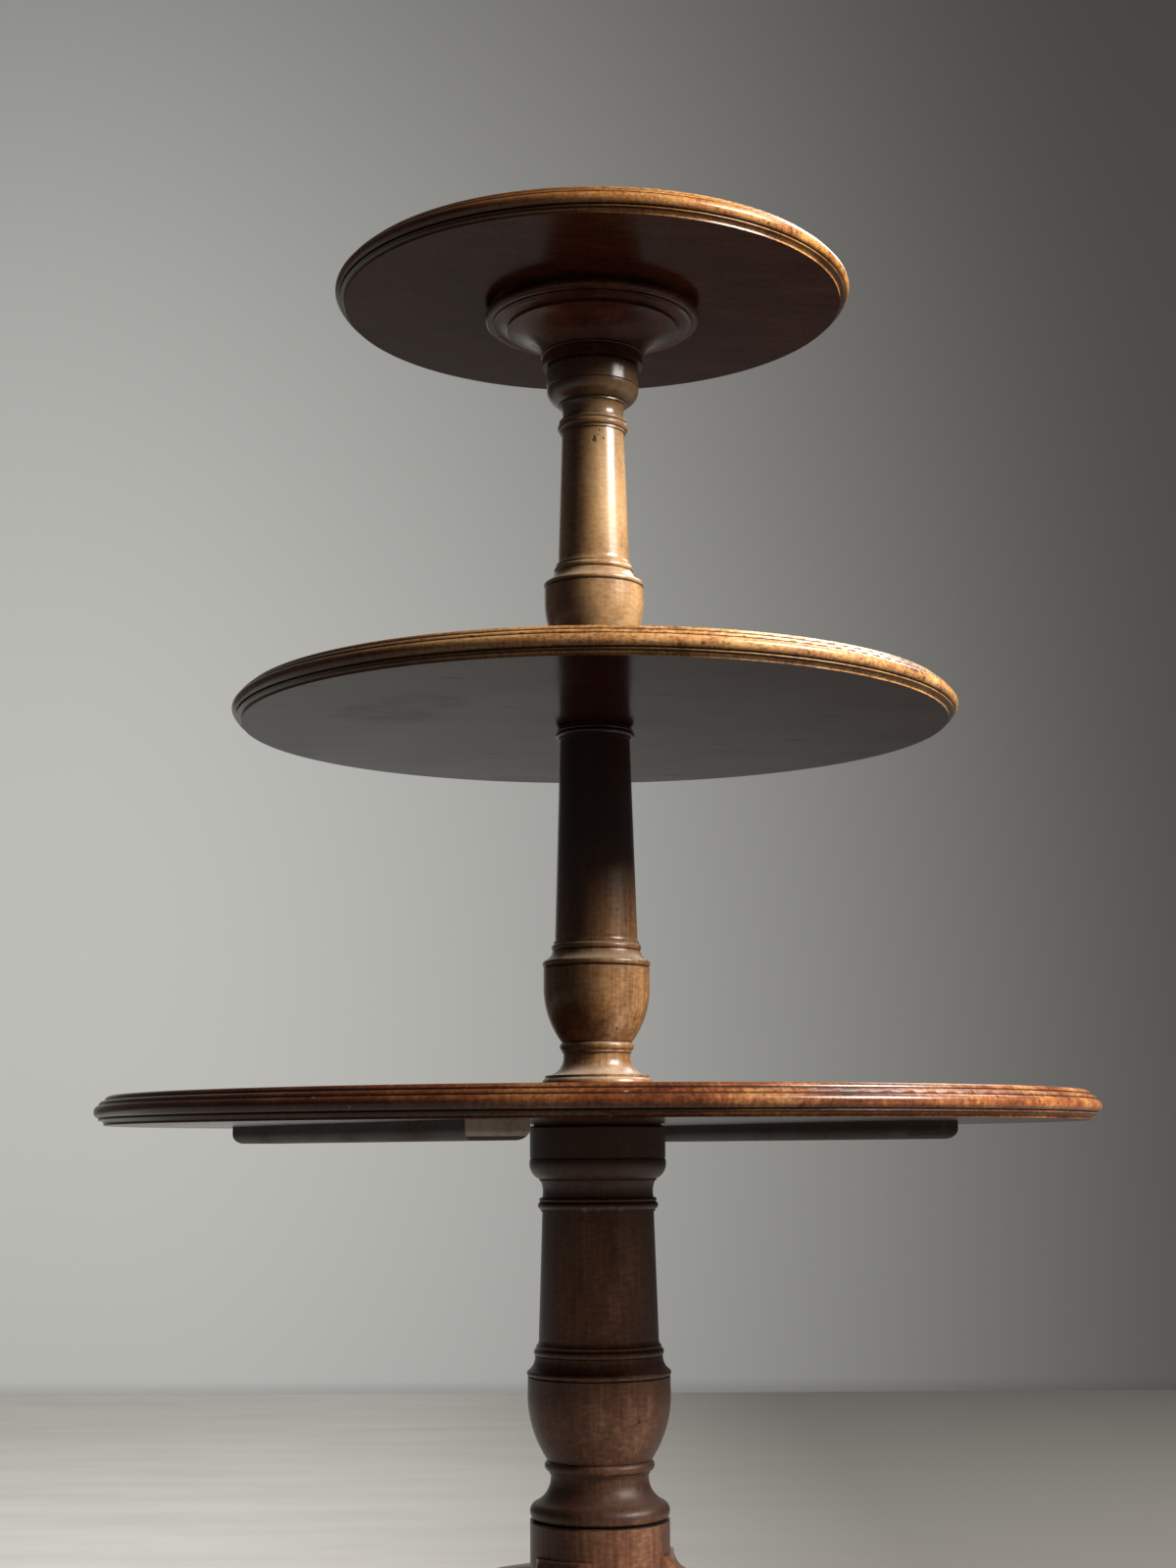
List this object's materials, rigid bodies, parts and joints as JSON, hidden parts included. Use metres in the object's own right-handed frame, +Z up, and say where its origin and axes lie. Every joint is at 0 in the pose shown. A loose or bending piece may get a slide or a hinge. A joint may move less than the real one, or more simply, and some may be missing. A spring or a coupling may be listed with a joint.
{
  "type": "tiered side table",
  "caption": "Tiered side table with round moulded trays of falling size that turn on a turned column, carried by a tripod of curved pad-foot legs.",
  "frame": {"origin": "on the floor, under the middle of the column", "axes": "+Z up along the column, +X to the right of the picture, -Y towards its viewer"},
  "size_m": [0.61, 0.61, 1.0138],
  "materials": {
    "column_wood": "French polished mahogany, glossy",
    "boss_wood": "dark French polished mahogany, glossy",
    "tray_wood": "mahogany board, polished rim, satin underside with scuffs",
    "leg_wood": "French polished mahogany, glossy",
    "batten_wood": "unpolished, stained dark with age",
    "washer_leather": "plain worn leather",
    "plate_iron": "dark oxidised wrought iron",
    "screw_steel": "dull tarnished steel"
  },
  "bodies": {
    "stand": {"pillar": "column_wood", "leg_right": "leg_wood", "leg_back": "leg_wood", "leg_front": "leg_wood", "base_plate": "plate_iron", "base_screws": "screw_steel", "bottom_washer": "washer_leather", "middle_column": "column_wood", "middle_washer": "washer_leather", "upper_column": "column_wood", "top_washer": "washer_leather"},
    "bottom_tier": {"bottom_tray": "tray_wood", "batten_left": "batten_wood", "batten_right": "batten_wood", "batten_screws": "screw_steel"},
    "middle_tier": {"middle_tray": "tray_wood"},
    "top_tier": {"top_boss": "boss_wood", "top_tray": "tray_wood"}
  },
  "joints": [
    {"name": "bottom_tray_turn", "type": "hinge", "parent": "stand", "child": "bottom_tier", "pos_m": [0, 0, 0.479], "axis": [0, 0, 1], "continuous": true},
    {"name": "middle_tray_turn", "type": "hinge", "parent": "stand", "child": "middle_tier", "pos_m": [0, 0, 0.7272], "axis": [0, 0, 1], "continuous": true},
    {"name": "top_tray_turn", "type": "hinge", "parent": "stand", "child": "top_tier", "pos_m": [0, 0, 0.98], "axis": [0, 0, 1], "continuous": true}
  ]
}
